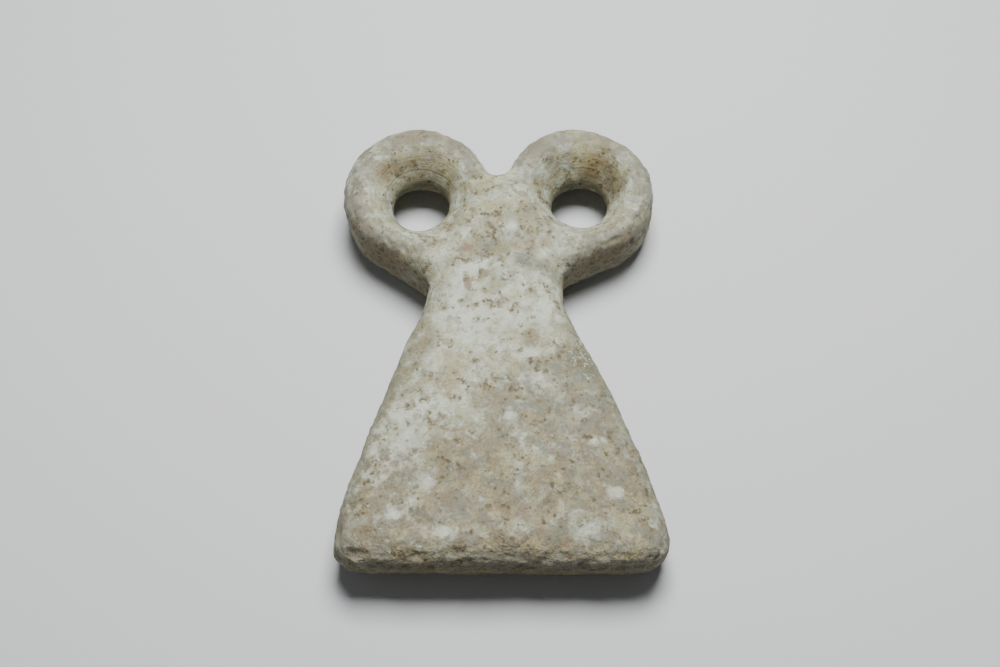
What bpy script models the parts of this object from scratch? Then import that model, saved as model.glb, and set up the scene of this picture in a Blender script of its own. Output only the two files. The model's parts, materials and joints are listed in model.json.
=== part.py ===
"""Eye idol carved from one piece of pale stone, modelled lying on its back.

Units are metres and +Z is up. The back rests on Z = 0, the flared base end is at -Y,
the two drilled eye rings are at +Y, and +X is the viewer's right when facing the front.
The origin is the middle of the bounding box's underside.
Heights along the figure are measured from its base end, as if it stood.
"""

import math

import bmesh
import bpy
from mathutils import Vector, noise

MM = 0.001

# Overall sizes of the stone before its surface is worn and trimmed
LENGTH = 101.2 * MM
BODY_THICKNESS = 15.8 * MM
HEAD_THICKNESS = 17.2 * MM

# The flared body: its width at the neck, and the width its flanks head for at the base end
NECK_WIDTH = 29.6 * MM
FLARE_WIDTH = 69.8 * MM
FLANK_BOW = 1.6 * MM
BASE_SHIFT = 0.3 * MM
NECK_SHIFT = -1.6 * MM

# The two rings, the gap and the web between them, and their drilled eyes
RING_RADIUS = 16.35 * MM
RING_GAP = 2.6 * MM
RINGS_SHIFT = -0.75 * MM
WEB_RISE = 4.2 * MM
EYE_BORE_RADIUS = 5.9 * MM
EYE_MOUTH_RADIUS = 12.4 * MM
EYE_FLARE = 1.8
DRILL_OVERRUN = 1.4

# Down the neck, from the rings' lowest point to the top of the body
NECK_LENGTH = 11.4 * MM

# The figure was carved by eye, so its two sides differ: -1 is the viewer's left, 1 the right
BASE_CORNER_RADIUS = {-1: 5.8 * MM, 1: 6.4 * MM}
NECK_PINCH = {-1: 1.3 * MM, 1: 0.4 * MM}
UNDERSIDE_DROP = {-1: 6 * MM, 1: 3.4 * MM}
UNDERSIDE_ANGLE = {-1: -125, 1: -72}
RING_LEAN = {-1: 0.1 * MM, 1: 0.7 * MM}
EYE_SHIFT = {-1: (0.8 * MM, -1.9 * MM), 1: (0 * MM, -1.3 * MM)}

# Rounding and wear
EDGE_ROUNDING = 5 * MM
END_LEAN = 1.5 * MM
LEAN_REACH = 16 * MM
HEAD_HOLLOW = 0.7 * MM
HOLLOW_SPREAD = 7 * MM
FACE_CROWN = 0.8 * MM
REST_TRIM = 0.5 * MM
END_TRIM = 0.4 * MM
WEAR_DEPTH = 0.35 * MM
WEAR_SPREAD = 9 * MM
CHIP_DEPTH = 1.6 * MM
CHIP_SPREAD = 4 * MM
CHIP_COVER = 0.25

# Fineness of the worked surface
SURFACE_GRAIN = 0.95 * MM
SMOOTHING_PASSES = 7
KEPT_FACES = 0.16

STONE_COLOUR = (0.62, 0.58, 0.48, 1.0)
STONE_ROUGHNESS = 0.6

rings_bottom = LENGTH - 2 * RING_RADIUS
body_top = rings_bottom - NECK_LENGTH
mid_level = HEAD_THICKNESS / 2 - REST_TRIM


def clear_scene():
    for obj in list(bpy.data.objects):
        bpy.data.objects.remove(obj)


def new_collection(name):
    collection = bpy.data.collections.new(name)
    bpy.context.scene.collection.children.link(collection)
    return collection


def stone_material():
    material = bpy.data.materials.new("worn_pale_stone")
    material.use_nodes = True
    shader = material.node_tree.nodes["Principled BSDF"]
    shader.inputs["Base Color"].default_value = STONE_COLOUR
    shader.inputs["Roughness"].default_value = STONE_ROUGHNESS
    shader.inputs["Metallic"].default_value = 0.0
    material.diffuse_color = STONE_COLOUR
    return material


def smooth_step(value):
    value = min(1.0, max(0.0, value))
    return value * value * (3 - 2 * value)


def arc(centre, radius, start, end, steps):
    """Points on an arc, angles in degrees from +X, both ends included."""
    points = []
    for step in range(steps + 1):
        angle = math.radians(start + (end - start) * step / steps)
        points.append((centre[0] + radius * math.cos(angle), centre[1] + radius * math.sin(angle)))
    return points


def ring_centre(side):
    return (RINGS_SHIFT + side * (RING_RADIUS + RING_GAP / 2), LENGTH - RING_RADIUS)


def half_width(height):
    """Half the body's width at a height, with the slight outward bow of its flanks."""
    share = min(1.0, max(0.0, height / body_top))
    straight = FLARE_WIDTH / 2 + (NECK_WIDTH - FLARE_WIDTH) / 2 * share
    return straight + FLANK_BOW * 4 * share * (1 - share)


def middle_line(height):
    """How far the body's own middle line stands off the figure's, because it was carved by eye."""
    share = min(1.0, max(0.0, height / body_top))
    return BASE_SHIFT + (NECK_SHIFT - BASE_SHIFT) * share


def flank_point(side, height):
    return (middle_line(height) + side * half_width(height), height)


def base_corner(side, steps=6):
    """The rounded corner of the base end, from the end round to the flank."""
    radius = BASE_CORNER_RADIUS[side]
    slope = (half_width(0) - half_width(2 * radius)) / (2 * radius)
    tilt = math.degrees(math.atan(slope))
    reach = half_width(0) - radius * (slope + math.hypot(1, slope))
    points = arc((reach, radius), radius, -90, tilt, steps)
    return [(middle_line(height) + side * across, height) for across, height in points]


def flank(side, steps=12):
    """The body's edge on one side, from above its base corner up past the neck to the ring."""
    low = 2 * BASE_CORNER_RADIUS[side]
    points = [flank_point(side, low + (body_top - low) * step / steps) for step in range(steps + 1)]
    across, height = flank_point(side, rings_bottom - UNDERSIDE_DROP[side])
    return points + [(across - side * NECK_PINCH[side], height)]


def ring_edge(side, steps=30):
    """A ring's outer edge, from its underside by the neck, round the outside, to the web."""
    centre = ring_centre(side)
    web = math.degrees(math.asin(WEB_RISE / RING_RADIUS))
    end = 180 - web if side > 0 else web - 360
    points = arc(centre, RING_RADIUS, UNDERSIDE_ANGLE[side], end, steps)
    leant = []
    for across, height in points:
        rise = max(0.0, (height - centre[1]) / RING_RADIUS)
        leant.append((across - RING_LEAN[side] * rise * rise, height))
    return leant


def outline():
    """The whole front outline, once round, starting at the base end."""
    right = base_corner(1) + flank(1) + ring_edge(1)
    left = base_corner(-1) + flank(-1) + ring_edge(-1)
    return right + left[::-1]


def carved_blank(collection):
    """The outline as a slab of even thickness with rounded edges."""
    curve = bpy.data.curves.new("blank_outline", "CURVE")
    curve.dimensions = "2D"
    curve.fill_mode = "BOTH"
    curve.extrude = HEAD_THICKNESS / 2 - EDGE_ROUNDING
    curve.bevel_depth = EDGE_ROUNDING
    curve.bevel_resolution = 3
    curve.offset = -EDGE_ROUNDING
    spline = curve.splines.new("POLY")
    points = outline()
    spline.points.add(len(points) - 1)
    for point, (across, height) in zip(spline.points, points):
        point.co = (across, height, 0.0, 1.0)
    spline.use_cyclic_u = True
    guide = bpy.data.objects.new("blank_outline", curve)
    guide.location.z = mid_level
    collection.objects.link(guide)
    return curve_to_mesh(guide, "eye_idol", collection)


def curve_to_mesh(guide, name, collection):
    """A closed mesh object in place of a curve object, with its caps welded on."""
    bpy.context.view_layer.update()
    graph = bpy.context.evaluated_depsgraph_get()
    mesh = bpy.data.meshes.new_from_object(guide.evaluated_get(graph))
    solid = bmesh.new()
    solid.from_mesh(mesh)
    bmesh.ops.remove_doubles(solid, verts=solid.verts, dist=0.01 * MM)
    bmesh.ops.recalc_face_normals(solid, faces=solid.faces)
    solid.to_mesh(mesh)
    solid.free()
    obj = bpy.data.objects.new(name, mesh)
    obj.matrix_world = guide.matrix_world
    collection.objects.link(obj)
    bpy.data.objects.remove(guide)
    return obj


def as_guide(obj):
    obj.hide_render = True
    obj.display_type = "WIRE"
    return obj


def eye_drill(side, collection):
    """The space left by drilling an eye from both faces: narrow in the middle, wide at each mouth."""
    half = HEAD_THICKNESS / 2
    steps = 24
    profile = [(0.0, DRILL_OVERRUN * half)]
    for step in range(steps + 1):
        share = DRILL_OVERRUN * (1 - 2 * step / steps)
        opening = (EYE_MOUTH_RADIUS - EYE_BORE_RADIUS) * abs(share) ** EYE_FLARE
        profile.append((EYE_BORE_RADIUS + opening, share * half))
    profile.append((0.0, -DRILL_OVERRUN * half))
    name = "eye_drill_right" if side > 0 else "eye_drill_left"
    mesh = bpy.data.meshes.new(name)
    edges = [(index, index + 1) for index in range(len(profile) - 1)]
    mesh.from_pydata([(across, 0.0, level) for across, level in profile], edges, [])
    drill = bpy.data.objects.new(name, mesh)
    centre = ring_centre(side)
    shift = EYE_SHIFT[side]
    drill.location = (centre[0] + shift[0], centre[1] + shift[1], mid_level)
    collection.objects.link(drill)
    turning = drill.modifiers.new("turned", "SCREW")
    turning.axis = "Z"
    turning.steps = turning.render_steps = 48
    turning.use_merge_vertices = True
    turning.merge_threshold = 0.01 * MM
    turning.use_smooth_shade = False
    return as_guide(drill)


def trim_block(name, low, high, collection):
    """A box whose faces cut a flat spot on the stone."""
    mesh = bpy.data.meshes.new(name)
    block = bmesh.new()
    bmesh.ops.create_cube(block, size=1.0)
    low, high = Vector(low), Vector(high)
    for vertex in block.verts:
        vertex.co = [low[axis] + (vertex.co[axis] + 0.5) * (high[axis] - low[axis]) for axis in range(3)]
    block.to_mesh(mesh)
    block.free()
    obj = bpy.data.objects.new(name, mesh)
    collection.objects.link(obj)
    return as_guide(obj)


def cut(target, cutter):
    boolean = target.modifiers.new("cut_" + cutter.name, "BOOLEAN")
    boolean.operation = "DIFFERENCE"
    boolean.solver = "EXACT"
    boolean.object = cutter


def settle_mesh(obj):
    """Replaces an object's mesh by its evaluated form and drops its modifiers."""
    bpy.context.view_layer.update()
    graph = bpy.context.evaluated_depsgraph_get()
    worked = bpy.data.meshes.new_from_object(obj.evaluated_get(graph))
    obj.modifiers.clear()
    obj.data = worked


def model_faces(point):
    """Brings the even slab to the figure's own thickness, its faces gently crowned and hollowed.

    The back stays level from end to end, so the front takes up the change in thickness.
    The base end leans under: its front edge stands out, its back edge is drawn in.
    """
    across, height, level = point
    lean = END_LEAN * (level - mid_level) / (HEAD_THICKNESS / 2)
    height -= lean * (1 - smooth_step(height / LEAN_REACH))
    off_hollow = (height - rings_bottom) / HOLLOW_SPREAD
    rise = smooth_step((height - body_top) / NECK_LENGTH)
    even = BODY_THICKNESS + (HEAD_THICKNESS - BODY_THICKNESS) * rise
    head_reach = RING_RADIUS * 2 + RING_GAP / 2
    width = half_width(height) + (head_reach - half_width(height)) * rise
    outward = min(1.0, abs(across - middle_line(height)) / width)
    drawn_in = HEAD_HOLLOW * math.exp(-off_hollow * off_hollow) + FACE_CROWN * outward**3
    kept = (even - 2 * drawn_in) / HEAD_THICKNESS
    return Vector((across, height, even / 2 - REST_TRIM + (level - mid_level) * kept))


def wear_at(point):
    """How far the surface has worn back: shallow everywhere, with chips along the base's rim."""
    seed = Vector(point) / WEAR_SPREAD
    worn = WEAR_DEPTH * (0.5 + noise.noise(seed))
    height, level = point[1], point[2]
    near_end = 1 - smooth_step(height / (2 * EDGE_ROUNDING))
    near_face = smooth_step(abs(level - mid_level) / (BODY_THICKNESS / 2) * 2 - 0.9)
    roughness = noise.noise(Vector(point) / CHIP_SPREAD + Vector((7.0, 3.0, 5.0)))
    chip = CHIP_DEPTH * near_end * near_face * max(0.0, CHIP_COVER + roughness)
    return worn + chip


def work_surface(obj):
    """Shapes the faces, then wears the surface back along its normals."""
    mesh = obj.data
    for vertex in mesh.vertices:
        vertex.co = model_faces(obj.matrix_world @ vertex.co)
    obj.matrix_world.identity()
    mesh.update()
    moved = [vertex.co - vertex.normal * wear_at(vertex.co) for vertex in mesh.vertices]
    for vertex, place in zip(mesh.vertices, moved):
        vertex.co = place
    mesh.update()


def centre_on_origin(obj):
    """Centres the mesh on the origin in plan, once its end is trimmed."""
    for axis, trimmed in ((0, 0.0), (1, END_TRIM)):
        places = [vertex.co[axis] for vertex in obj.data.vertices]
        middle = (min(places) + trimmed + max(places)) / 2
        for vertex in obj.data.vertices:
            vertex.co[axis] -= middle


def carve_idol():
    idol_parts = new_collection("eye_idol")
    cutters = new_collection("cutters")
    idol = carved_blank(idol_parts)
    for side in (-1, 1):
        cut(idol, eye_drill(side, cutters))
    worked = idol.modifiers.new("worked_surface", "REMESH")
    worked.mode = "VOXEL"
    worked.voxel_size = SURFACE_GRAIN
    softened = idol.modifiers.new("softened_edges", "SMOOTH")
    softened.factor = 0.5
    softened.iterations = SMOOTHING_PASSES
    settle_mesh(idol)
    work_surface(idol)
    centre_on_origin(idol)
    fewer = idol.modifiers.new("fewer_faces", "DECIMATE")
    fewer.ratio = KEPT_FACES
    ends = [vertex.co.y for vertex in idol.data.vertices]
    reach = LENGTH
    rest = trim_block("rest_trim", (-reach, -reach, -reach), (reach, reach, 0.0), cutters)
    end = trim_block("end_trim", (-reach, -2 * reach, -reach), (reach, min(ends) + END_TRIM, reach), cutters)
    cut(idol, rest)
    cut(idol, end)
    idol.data.materials.clear()
    idol.data.materials.append(stone_material())
    idol.data.shade_smooth()
    return idol


clear_scene()
carve_idol()
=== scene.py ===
import json
import math
import random

import bpy
import numpy as np
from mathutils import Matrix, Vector


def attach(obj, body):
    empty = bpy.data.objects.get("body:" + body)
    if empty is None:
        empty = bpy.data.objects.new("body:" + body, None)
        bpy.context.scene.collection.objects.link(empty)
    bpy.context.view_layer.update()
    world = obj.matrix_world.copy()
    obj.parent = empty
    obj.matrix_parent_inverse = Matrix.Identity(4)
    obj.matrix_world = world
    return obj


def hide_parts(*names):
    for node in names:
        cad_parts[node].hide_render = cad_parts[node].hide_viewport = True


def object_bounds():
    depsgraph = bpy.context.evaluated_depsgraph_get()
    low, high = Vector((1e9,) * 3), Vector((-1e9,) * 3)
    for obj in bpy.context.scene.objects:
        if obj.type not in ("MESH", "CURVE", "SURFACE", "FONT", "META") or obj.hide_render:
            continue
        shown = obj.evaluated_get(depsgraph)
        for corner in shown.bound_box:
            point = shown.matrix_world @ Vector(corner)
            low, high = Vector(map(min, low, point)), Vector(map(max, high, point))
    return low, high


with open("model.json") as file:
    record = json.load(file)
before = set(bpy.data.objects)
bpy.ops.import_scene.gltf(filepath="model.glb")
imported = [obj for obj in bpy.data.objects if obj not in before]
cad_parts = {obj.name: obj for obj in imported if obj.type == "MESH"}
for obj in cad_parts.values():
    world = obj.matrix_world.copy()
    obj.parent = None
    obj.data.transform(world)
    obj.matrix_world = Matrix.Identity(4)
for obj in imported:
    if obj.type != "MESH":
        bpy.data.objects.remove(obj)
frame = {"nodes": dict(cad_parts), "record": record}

# The eye idol lies on its back. Places and sizes below are in mm on the stone: x to the viewer's
# right, y from the base end towards the eyes, z out of the front.

mm = 0.001
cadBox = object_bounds()
openings = {entry["name"]: entry["box_m"] for entry in frame["record"]["physics"]["openings"]}


def openingAxis(name):
    low, high = openings[name]
    return Vector(((low[0] + high[0]) / 2, (low[1] + high[1]) / 2, 0)) / mm


eyeAxes = [openingAxis("left_eye"), openingAxis("right_eye")]
thickness = (cadBox[1][2] - cadBox[0][2]) / mm
baseEnd = cadBox[0][1] / mm

# The stone's surface, as it was carved, drilled and knocked about
idolShape = {
    "fineness": 0.45,
    "softening": 20,  # rounds of smoothing
    "broadening": 180,  # rounds that leave only the broad form, which edges and hollows depart from
    "frontFrom": (0.35, 0.8),  # shares of the thickness between which the front begins
    "octaves": 3,
    "handWaver": {"height": 0.16, "across": 12.0},
    "smallWaver": {"height": 0.05, "across": 3.2},
    "grit": {"height": 0.05, "across": 1.1, "least": 0.35, "onSides": 0.9},
    "drillWaver": {"height": 0.16, "across": 5.5, "reach": 12.5, "fade": 3.0},
    "roughEnd": {"height": 0.27, "across": 1.3, "stretch": 1.3, "full": 1.5, "depth": 7.0, "least": 0.35},
    "endWaver": {"height": 0.32, "across": 5.0},
    "rimGrit": {"height": 0.15, "across": 1.4, "levels": (0.08, 0.3)},
    "edgeWear": {"rims": 0.2, "baseEnd": 0.75},
}

# Chips along the edges: an edge stands out of the broad form by at least "standing"
edgeChips = {
    "standing": 0.22,
    "endDepth": 4.0,
    "baseChips": {"count": 240, "radius": (0.5, 1.4), "depth": (0.06, 0.24), "above": 8, "seed": 11},
    "rimChips": {"count": 160, "radius": (0.6, 1.6), "depth": (0.06, 0.22), "above": 6, "seed": 5},
    "tilt": 0.22,
    "smallness": 1.6,
    "stretch": (1.0, 2.4),
}

# Masks left on the mesh for the material, each with where it starts and where it is full: by the
# height above the broad form, or for the sides by how far the surface faces front
surfaceMasks = {"hollows": (0.0, 0.3), "ridges": (0.1, 0.42), "sides": (-0.1, 0.7)}

# Single knocks that show: where, which way they face, how wide and deep, and how they stretch
singleKnocks = {
    "neckGroove": {
        "at": (1.2, 18.4, 16), "facing": (0, 0.25, 1), "radius": 5.0, "depth": 0.55,
        "along": (1, 0.1, 0), "stretch": 1.9,
    },
    "neckScore": {
        "at": (7.6, 12.2, 16), "facing": (0, 0, 1), "radius": 1.2, "depth": 0.22,
        "along": (0.8, -0.6, 0), "stretch": 6.0,
    },
    "rightCornerChip": {
        "at": (31.9, -45.6, 12), "facing": (1, -0.3, 0.5), "radius": 3.0, "depth": 0.7,
        "along": (0, 1, 0), "stretch": 1.5,
    },
    "leftCornerCrevice": {
        "at": (-27.5, -48.6, 13.4), "facing": (-0.2, -0.6, 0.8), "radius": 1.5, "depth": 0.9,
        "along": (1, 0.25, -0.3), "stretch": 3.2,
    },
    "leftCornerChip": {
        "at": (-31.4, -43.5, 12.5), "facing": (-0.8, -0.1, 0.7), "radius": 2.4, "depth": 0.6,
        "along": (0.2, 1, 0), "stretch": 2.0,
    },
    "leftEdgeChip": {
        "at": (-23.0, -48.2, 14.6), "facing": (0, -0.5, 0.9), "radius": 2.2, "depth": 0.4,
        "along": (1, 0, 0), "stretch": 1.6,
    },
    "centreEdgeChip": {
        "at": (-8.5, -48.6, 14.6), "facing": (0, -0.6, 0.8), "radius": 1.9, "depth": 0.35,
        "along": (1, 0, 0), "stretch": 2.2,
    },
    "rightEdgeChip": {
        "at": (12.0, -48.8, 14.2), "facing": (0, -0.6, 0.8), "radius": 1.6, "depth": 0.4,
        "along": (1, 0, 0), "stretch": 2.6,
    },
    "rightRingPit": {
        "at": (28.6, 22.4, 11), "facing": (0.7, -0.7, 0.3), "radius": 1.1, "depth": 0.5,
        "along": (0, 0, 1), "stretch": 1.3,
    },
    "rightRingNick": {
        "at": (25.0, 20.3, 14.6), "facing": (0.4, -0.7, 0.6), "radius": 1.6, "depth": 0.4,
        "along": (1, 0.6, 0), "stretch": 2.0,
    },
}

# Small lumps left standing: where, how wide and how high
singleLumps = {
    "leftRimUpper": {"at": (-26.6, 42.0, 15.2), "reach": 1.6, "height": 0.35},
    "leftRimOuter": {"at": (-29.9, 38.3, 14.6), "reach": 1.8, "height": 0.4},
    "leftRimSide": {"at": (-31.9, 34.6, 13.6), "reach": 1.6, "height": 0.3},
    "leftRimLow": {"at": (-32.0, 29.6, 13.2), "reach": 1.5, "height": 0.25},
    "rightRimSpot": {"at": (29.4, 27.4, 15.4), "reach": 1.3, "height": 0.35},
    "rightRimUpper": {"at": (30.6, 41.0, 14.4), "reach": 1.5, "height": 0.25},
    "webStreak": {"at": (3.0, 22.6, 16.0), "reach": 1.7, "height": 0.3},
    "leftCorner": {"at": (-32.6, -47.6, 7.0), "reach": 3.4, "height": 0.6},
    "leftCornerFoot": {"at": (-28.6, -49.8, 9.4), "reach": 2.4, "height": 0.6},
}


def smoothStep(value, low, high):
    share = np.clip((value - low) / (high - low), 0, 1)
    return share * share * (3 - 2 * share)


def within(span, share):
    return span[0] + share * (span[1] - span[0])


def readVectors(mesh, what):
    flat = np.empty(len(mesh.vertices) * 3)
    mesh.vertices.foreach_get(what, flat)
    return flat.reshape(-1, 3)


def readPlaces(mesh):
    return readVectors(mesh, "co") / mm


def writePlaces(mesh, places):
    mesh.vertices.foreach_set("co", (places * mm).ravel())
    mesh.update()


# The piece's mesh after its modifiers and some rounds of smoothing
def smoothed(piece, rounds):
    soften = piece.modifiers.new("softened", "SMOOTH")
    soften.iterations = rounds
    bpy.context.view_layer.update()
    graph = bpy.context.evaluated_depsgraph_get()
    mesh = bpy.data.meshes.new_from_object(piece.evaluated_get(graph))
    piece.modifiers.clear()
    return mesh


def fineCopy(node, name):
    piece = bpy.data.objects.new(name, frame["nodes"][node].data.copy())
    bpy.context.scene.collection.objects.link(piece)
    remesh = piece.modifiers.new("fineFaces", "REMESH")
    remesh.mode = "VOXEL"
    remesh.voxel_size = idolShape["fineness"] * mm
    piece.data = smoothed(piece, idolShape["softening"])
    return piece


def broadPlaces(piece):
    mesh = smoothed(piece, idolShape["broadening"])
    places = readPlaces(mesh)
    bpy.data.meshes.remove(mesh)
    return places


# Numbers that scramble a lattice point and a seed into one even draw
latticeHash = {
    "axes": (73856093, 19349663, 83492791),
    "seed": 7919,
    "mixes": ((15, 2246822519), (13, 3266489917)),
    "last": 16,
    "range": 0xFFFF,
}

# Each finer layer of unevenness is turned and shifted, so the lattices don't line up.
layerTurns = [
    np.array([[0.36, 0.48, -0.8], [-0.8, 0.6, 0.0], [0.48, 0.64, 0.6]]),
    np.array([[0.6, 0.0, 0.8], [0.64, 0.6, -0.48], [-0.48, 0.8, 0.36]]),
]
layerShift = 31.7


# Smooth values between -1 and 1, drawn from a lattice of hashed numbers
def latticeNoise(places, seed):
    cell = np.floor(places).astype(np.int64)
    part = places - cell
    blend = part * part * (3 - 2 * part)
    total = np.zeros(len(places))
    for corner in np.ndindex(2, 2, 2):
        key = ((cell + corner) * latticeHash["axes"]).sum(1) + seed * latticeHash["seed"]
        for shift, mix in latticeHash["mixes"]:
            key = (key ^ (key >> shift)) * mix
        drawn = (key ^ (key >> latticeHash["last"])) & latticeHash["range"]
        value = drawn * 2 / latticeHash["range"] - 1
        total += value * np.where(corner, blend, 1 - blend).prod(1)
    return total


def unevenness(places, across, seed):
    total = np.zeros(len(places))
    for octave in range(idolShape["octaves"]):
        turned = places @ layerTurns[octave % 2]
        drawn = latticeNoise(turned * 2**octave / across + layerShift * octave, seed + octave)
        total += drawn / 2**octave
    return total


# A chip leaves a shallow scoop: the part of a long ball that lay in the stone.
def scoopChip(places, at, outward, radius, depth, along, stretch):
    along = along - outward * (along @ outward)
    along = along / (np.linalg.norm(along) + 1e-9)
    away = places - (at + outward * (radius - depth))
    lengthwise = away @ along
    squeezed = away - along * (lengthwise * (1 - 1 / stretch))[:, None]
    upward = squeezed @ outward
    distance = (squeezed * squeezed).sum(1)
    sideways = distance - upward * upward
    touched = (upward < 0) & (distance < radius * radius)
    sunk = upward[touched] + np.sqrt(radius * radius - sideways[touched])
    places[touched] -= outward * np.minimum(sunk, 2 * depth)[:, None]


def knockChips(places, normals, where, along, chips):
    rng = random.Random(chips["seed"])
    candidates = np.nonzero(where)[0]
    for _ in range(chips["count"]):
        index = candidates[rng.randrange(len(candidates))]
        outward = normals[index] + np.array([rng.gauss(0, 1) for _ in range(3)]) * edgeChips["tilt"]
        outward /= np.linalg.norm(outward)
        size = rng.random() ** edgeChips["smallness"]
        radius = within(chips["radius"], size)
        depth = within(chips["depth"], size * rng.random())
        stretch = rng.uniform(*edgeChips["stretch"])
        scoopChip(places, places[index].copy(), outward, radius, depth, along, stretch)


def nearestPlace(places, at):
    return places[((places - np.array(at)) ** 2).sum(1).argmin()].copy()


def makeSingleMarks(places, normals):
    for knock in singleKnocks.values():
        outward = np.array(knock["facing"], float)
        outward /= np.linalg.norm(outward)
        along = np.array(knock["along"], float)
        spot = nearestPlace(places, knock["at"])
        scoopChip(places, spot, outward, knock["radius"], knock["depth"], along, knock["stretch"])
    for lump in singleLumps.values():
        spot = nearestPlace(places, lump["at"])
        nearness = 1 - np.minimum(((places - spot) ** 2).sum(1) / lump["reach"] ** 2, 1)
        places += normals * (lump["height"] * nearness**2)[:, None]


def eyeDistance(places):
    distances = [np.hypot(places[:, 0] - axis.x, places[:, 1] - axis.y) for axis in eyeAxes]
    return np.minimum(*distances)


def storeMask(mesh, name, values):
    mask = mesh.attributes.new(name, "FLOAT", "POINT")
    mask.data.foreach_set("value", np.clip(values, 0, 1).astype(np.float32))


def carveSurface(piece):
    mesh = piece.data
    places = readPlaces(mesh)
    normals = readVectors(mesh, "normal")
    standing = ((places - broadPlaces(piece)) * normals).sum(1)
    fromEnd = places[:, 1] - baseEnd
    grit, drill, rough = idolShape["grit"], idolShape["drillWaver"], idolShape["roughEnd"]
    atEnd = 1 - smoothStep(fromEnd, rough["full"], rough["depth"])
    frontLow, frontHigh = idolShape["frontFrom"]
    frontward = smoothStep(places[:, 2], thickness * frontLow, thickness * frontHigh)
    nearEye = 1 - smoothStep(eyeDistance(places), drill["reach"] - drill["fade"], drill["reach"])
    sidelong = 1 - np.abs(normals[:, 2])

    worn = np.zeros(len(places))
    for name, seed, weight in (
        ("handWaver", 1, 1.0),
        ("smallWaver", 2, 1.0),
        ("grit", 3, grit["least"] + grit["onSides"] * sidelong * (1 - nearEye)),
        ("drillWaver", 4, nearEye),
        ("roughEnd", 5, atEnd * (rough["least"] + (1 - rough["least"]) * frontward)),
        ("endWaver", 6, atEnd * frontward),
        ("rimGrit", 7, smoothStep(standing, *idolShape["rimGrit"]["levels"]) * (1 - atEnd)),
    ):
        kind = idolShape[name]
        drawn = places / (kind.get("stretch", 1), 1, 1)
        worn += kind["height"] * weight * unevenness(drawn, kind["across"], seed)
    wear = within((idolShape["edgeWear"]["rims"], idolShape["edgeWear"]["baseEnd"]), atEnd)
    worn -= wear * np.maximum(standing, 0)

    edges = standing > edgeChips["standing"]
    for name, ownEdges, along in (
        ("baseChips", edges & (fromEnd < edgeChips["endDepth"]), (1.0, 0, 0)),
        ("rimChips", edges & (fromEnd > edgeChips["endDepth"]), (0, 1.0, 0)),
    ):
        chips = edgeChips[name]
        knockChips(places, normals, ownEdges & (places[:, 2] > chips["above"]), np.array(along), chips)
    places += normals * worn[:, None]
    makeSingleMarks(places, normals)
    writePlaces(mesh, np.clip(places, np.array(cadBox[0]) / mm, np.array(cadBox[1]) / mm))

    storeMask(mesh, "hollows", smoothStep(-standing, *surfaceMasks["hollows"]))
    storeMask(mesh, "ridges", smoothStep(standing, *surfaceMasks["ridges"]))
    storeMask(mesh, "sides", 1 - smoothStep(normals[:, 2], *surfaceMasks["sides"]))
    storeMask(mesh, "roughEnd", atEnd)


def buildIdol():
    piece = fineCopy("eye_idol", "carvedIdol")
    carveSurface(piece)
    piece.data.shade_smooth()
    print("idol:", len(piece.data.vertices), "points,", len(piece.data.polygons), "faces")
    return piece


# Small helpers for wiring shader nodes
def addNode(tree, kind, inputs=None, **settings):
    made = tree.nodes.new("ShaderNode" + kind)
    for name, value in settings.items():
        setattr(made, name, value)
    for name, value in (inputs or {}).items():
        if isinstance(value, bpy.types.NodeSocket):
            tree.links.new(value, made.inputs[name])
        else:
            made.inputs[name].default_value = value
    return made


def fillGroup(tree, group, inputs):
    return addNode(tree, "Group", inputs, node_tree=group).outputs


def calculate(tree, operation, first, second=0.0):
    return addNode(tree, "Math", {0: first, 1: second}, operation=operation).outputs[0]


def plus(tree, first, second):
    return calculate(tree, "ADD", first, second)


def minus(tree, first, second):
    return calculate(tree, "SUBTRACT", first, second)


def times(tree, first, second):
    return calculate(tree, "MULTIPLY", first, second)


def larger(tree, first, second):
    return calculate(tree, "MAXIMUM", first, second)


def onVectors(tree, operation, first, second):
    return addNode(tree, "VectorMath", {0: first, 1: second}, operation=operation).outputs[0]


def vectorLength(tree, vector):
    return addNode(tree, "VectorMath", {0: vector}, operation="LENGTH").outputs["Value"]


def scaleVector(tree, vector, scale):
    return addNode(tree, "VectorMath", {0: vector, "Scale": scale}, operation="SCALE").outputs[0]


def turnFlat(tree, vector, angle):
    inputs = {"Vector": vector, "Angle": angle}
    return addNode(tree, "VectorRotate", inputs, rotation_type="Z_AXIS").outputs[0]


def between(tree, value, low, high):
    ramp = addNode(tree, "MapRange", {"Value": value, "From Min": low, "From Max": high})
    ramp.interpolation_type = "SMOOTHSTEP"
    return ramp.outputs["Result"]


def noiseValue(tree, vector, across, detail=3.0, roughness=0.55, distortion=0.0):
    inputs = {
        "Vector": vector, "Scale": calculate(tree, "DIVIDE", 1.0, across), "Detail": detail,
        "Roughness": roughness, "Distortion": distortion,
    }
    return addNode(tree, "TexNoise", inputs).outputs["Fac"]


def readMask(tree, name):
    return addNode(tree, "Attribute", attribute_name=name).outputs["Fac"]


def newGroup(name, inputs, outputs):
    tree = bpy.data.node_groups.new(name, "ShaderNodeTree")
    for socketName, kind, value in inputs:
        socket = tree.interface.new_socket(socketName, in_out="INPUT", socket_type="NodeSocket" + kind)
        if value is not None:
            socket.default_value = value
    for socketName in outputs:
        tree.interface.new_socket(socketName, in_out="OUTPUT", socket_type="NodeSocketFloat")
    return tree, tree.nodes.new("NodeGroupInput").outputs, tree.nodes.new("NodeGroupOutput").inputs


# A soft-edged patch lying on the stone, turned and stretched, its edge broken by the ragged value
patchEdge = (0.25, 1.05)


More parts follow.
